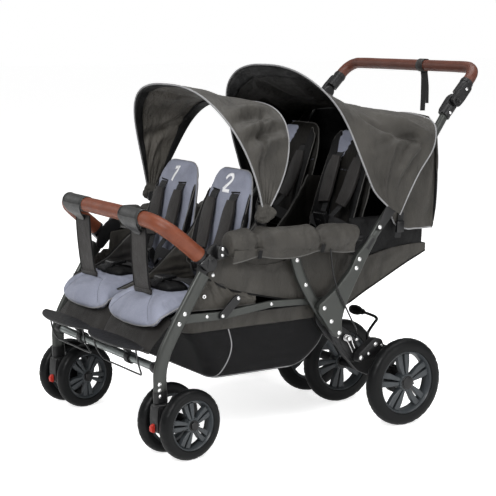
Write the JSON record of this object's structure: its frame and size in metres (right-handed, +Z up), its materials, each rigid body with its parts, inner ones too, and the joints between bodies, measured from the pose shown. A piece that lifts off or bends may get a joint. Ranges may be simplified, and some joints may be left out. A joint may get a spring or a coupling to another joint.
{
  "type": "quadruple stroller",
  "caption": "Tandem stroller with side by side seats in two rows, two hoods, basket, padded bumper bar, swivel front casters and a folding handle frame.",
  "frame": {"origin": "on the floor, under the middle of the stroller's overall box", "axes": "+Z up, -Y the way the stroller drives, +X the seated child's left"},
  "size_m": [0.7844, 1.118, 0.978],
  "materials": {
    "frame": "satin dark grey-green paint",
    "plastic": "moulded black",
    "wheel": "rim and tyre moulded together, dark grey and black",
    "rim": "moulded dark grey",
    "tyre": "black",
    "steel": "bright wire",
    "leather": "tan stitched leatherette",
    "shell": "taupe-brown woven cloth",
    "pad": "soft blue-grey padding",
    "dark": "black woven cloth"
  },
  "bodies": {
    "chassis": {"front_leg_left": "frame", "front_leg_right": "frame", "front_crossbar": "frame", "seat_rail_left": "frame", "seat_rail_right": "frame", "arm_rail_left": "plastic", "arm_rail_right": "plastic", "short_leg_left": "frame", "short_leg_right": "frame", "rear_bracket_left": "plastic", "rear_bracket_right": "plastic", "torsion_spring_left": "steel", "torsion_spring_right": "steel", "brake_cable": "plastic", "front_seat_left": "pad", "front_seat_right": "pad", "rear_seat_left": "dark", "rear_seat_right": "dark", "calf_panel": "dark", "seat_tub": "shell", "arm_roll_left": "shell", "arm_roll_right": "shell", "basket": "shell"},
    "handle_frame": {"handle_upright_left": "frame", "handle_upright_right": "frame", "knuckle_base_left": "plastic", "knuckle_base_right": "plastic", "back_curtain": "shell"},
    "handle": {"handle_grip": "leather", "handle_clamp_left": "plastic", "handle_clamp_right": "plastic"},
    "front_hood": {"front_canopy": "shell"},
    "rear_hood": {"rear_canopy": "shell"},
    "rear_suspension": {"rear_axle": "plastic"},
    "brake_pedal": {"brake_pedal_rod": "plastic", "brake_pedal_pad": "tyre"},
    "footrest": {"footrest_plate": "plastic"},
    "bumper": {"bumper_bar": "leather", "bumper_clip_left": "plastic", "bumper_clip_right": "plastic"},
    "button_left": {"knuckle_button_left": "plastic"},
    "button_right": {"knuckle_button_right": "plastic"},
    "caster_left": {"caster_fork_left": "plastic"},
    "front_wheel_left_outer": {"front_wheel_left_outer": "wheel"},
    "front_wheel_left_inner": {"front_wheel_left_inner": "wheel"},
    "caster_right": {"caster_fork_right": "plastic"},
    "front_wheel_right_outer": {"front_wheel_right_outer": "wheel"},
    "front_wheel_right_inner": {"front_wheel_right_inner": "wheel"},
    "rear_wheel_left_outer": {"rear_rim_left_outer": "rim", "rear_tyre_left_outer": "tyre"},
    "rear_wheel_left_inner": {"rear_rim_left_inner": "rim", "rear_tyre_left_inner": "tyre"},
    "rear_wheel_right_outer": {"rear_rim_right_outer": "rim", "rear_tyre_right_outer": "tyre"},
    "rear_wheel_right_inner": {"rear_rim_right_inner": "rim", "rear_tyre_right_inner": "tyre"},
    "front_back_left": {"front_back_left": "pad"},
    "rear_back_left": {"rear_back_left": "dark"},
    "front_back_right": {"front_back_right": "pad"},
    "rear_back_right": {"rear_back_right": "dark"}
  },
  "joints": [
    {"name": "frame_fold", "type": "hinge", "parent": "chassis", "child": "handle_frame", "pos_m": [0, 0.027, 0.304], "axis": [1, 0, 0], "range_deg": [0, 112], "deforming": ["arm_roll_left", "arm_roll_right", "back_curtain"]},
    {"name": "handle_tilt", "type": "hinge", "parent": "handle_frame", "child": "handle", "pos_m": [0, 0.457, 0.872], "axis": [1, 0, 0], "range_deg": [-60, 45]},
    {"name": "button_press_left", "type": "slide", "parent": "handle", "child": "button_left", "axis": [-1, 0, 0], "range_m": [0, 0.003], "stiffness_N_per_m": 400, "springref_m": -0.003},
    {"name": "button_press_right", "type": "slide", "parent": "handle", "child": "button_right", "axis": [1, 0, 0], "range_m": [0, 0.003], "stiffness_N_per_m": 400, "springref_m": -0.003},
    {"name": "front_hood_fold", "type": "hinge", "parent": "chassis", "child": "front_hood", "pos_m": [0, -0.171, 0.586], "axis": [1, 0, 0], "range_deg": [-60, 25], "deforming": ["front_canopy"]},
    {"name": "rear_hood_fold", "type": "hinge", "parent": "handle_frame", "child": "rear_hood", "pos_m": [0, 0.179, 0.545], "axis": [1, 0, 0], "range_deg": [-50, 10], "deforming": ["rear_canopy"]},
    {"name": "caster_swivel_left", "type": "hinge", "parent": "chassis", "child": "caster_left", "pos_m": [0.3, -0.473, 0.146], "axis": [0, 0, 1], "continuous": true},
    {"name": "front_spin_left_outer", "type": "hinge", "parent": "caster_left", "child": "front_wheel_left_outer", "pos_m": [0.33762, -0.4102, 0.0907], "axis": [0.9903, 0.1392, 0], "continuous": true},
    {"name": "front_spin_left_inner", "type": "hinge", "parent": "caster_left", "child": "front_wheel_left_inner", "pos_m": [0.24651, -0.423, 0.0907], "axis": [0.9903, 0.1392, 0], "continuous": true},
    {"name": "caster_swivel_right", "type": "hinge", "parent": "chassis", "child": "caster_right", "pos_m": [-0.3, -0.473, 0.146], "axis": [0, 0, 1], "continuous": true},
    {"name": "front_spin_right_outer", "type": "hinge", "parent": "caster_right", "child": "front_wheel_right_outer", "pos_m": [-0.35349, -0.423, 0.0907], "axis": [0.9903, 0.1392, 0], "continuous": true},
    {"name": "front_spin_right_inner", "type": "hinge", "parent": "caster_right", "child": "front_wheel_right_inner", "pos_m": [-0.26238, -0.4102, 0.0907], "axis": [0.9903, 0.1392, 0], "continuous": true},
    {"name": "rear_spin_left_outer", "type": "hinge", "parent": "rear_suspension", "child": "rear_wheel_left_outer", "pos_m": [0.3697, 0.2406, 0.12], "axis": [1, 0, 0], "continuous": true},
    {"name": "rear_spin_left_inner", "type": "hinge", "parent": "rear_suspension", "child": "rear_wheel_left_inner", "pos_m": [0.0735, 0.2406, 0.12], "axis": [1, 0, 0], "continuous": true},
    {"name": "rear_spin_right_outer", "type": "hinge", "parent": "rear_suspension", "child": "rear_wheel_right_outer", "pos_m": [-0.3697, 0.2406, 0.12], "axis": [1, 0, 0], "continuous": true},
    {"name": "rear_spin_right_inner", "type": "hinge", "parent": "rear_suspension", "child": "rear_wheel_right_inner", "pos_m": [-0.0735, 0.2406, 0.12], "axis": [1, 0, 0], "continuous": true},
    {"name": "suspension", "type": "hinge", "parent": "chassis", "child": "rear_suspension", "pos_m": [0, 0.121, 0.193], "axis": [1, 0, 0], "range_deg": [0, 4], "stiffness_Nm_per_rad": 400, "springref_deg": -6.88},
    {"name": "brake_press", "type": "hinge", "parent": "rear_suspension", "child": "brake_pedal", "pos_m": [0, 0.282, 0.187], "axis": [1, 0, 0], "range_deg": [-25, 0]},
    {"name": "front_recline_left", "type": "hinge", "parent": "chassis", "child": "front_back_left", "pos_m": [0, -0.2, 0.405], "axis": [1, 0, 0], "range_deg": [-12, 0]},
    {"name": "rear_recline_left", "type": "hinge", "parent": "chassis", "child": "rear_back_left", "pos_m": [0, 0.18, 0.482], "axis": [1, 0, 0], "range_deg": [-16, 0]},
    {"name": "front_recline_right", "type": "hinge", "parent": "chassis", "child": "front_back_right", "pos_m": [0, -0.2, 0.405], "axis": [1, 0, 0], "range_deg": [-12, 0]},
    {"name": "rear_recline_right", "type": "hinge", "parent": "chassis", "child": "rear_back_right", "pos_m": [0, 0.18, 0.482], "axis": [1, 0, 0], "range_deg": [-16, 0]},
    {"name": "footrest_tilt", "type": "hinge", "parent": "chassis", "child": "footrest", "pos_m": [0, -0.473, 0.232], "axis": [1, 0, 0], "range_deg": [0, 25]},
    {"name": "bumper_tilt", "type": "hinge", "parent": "chassis", "child": "bumper", "pos_m": [0, -0.331, 0.487], "axis": [1, 0, 0], "range_deg": [0, 30]}
  ]
}
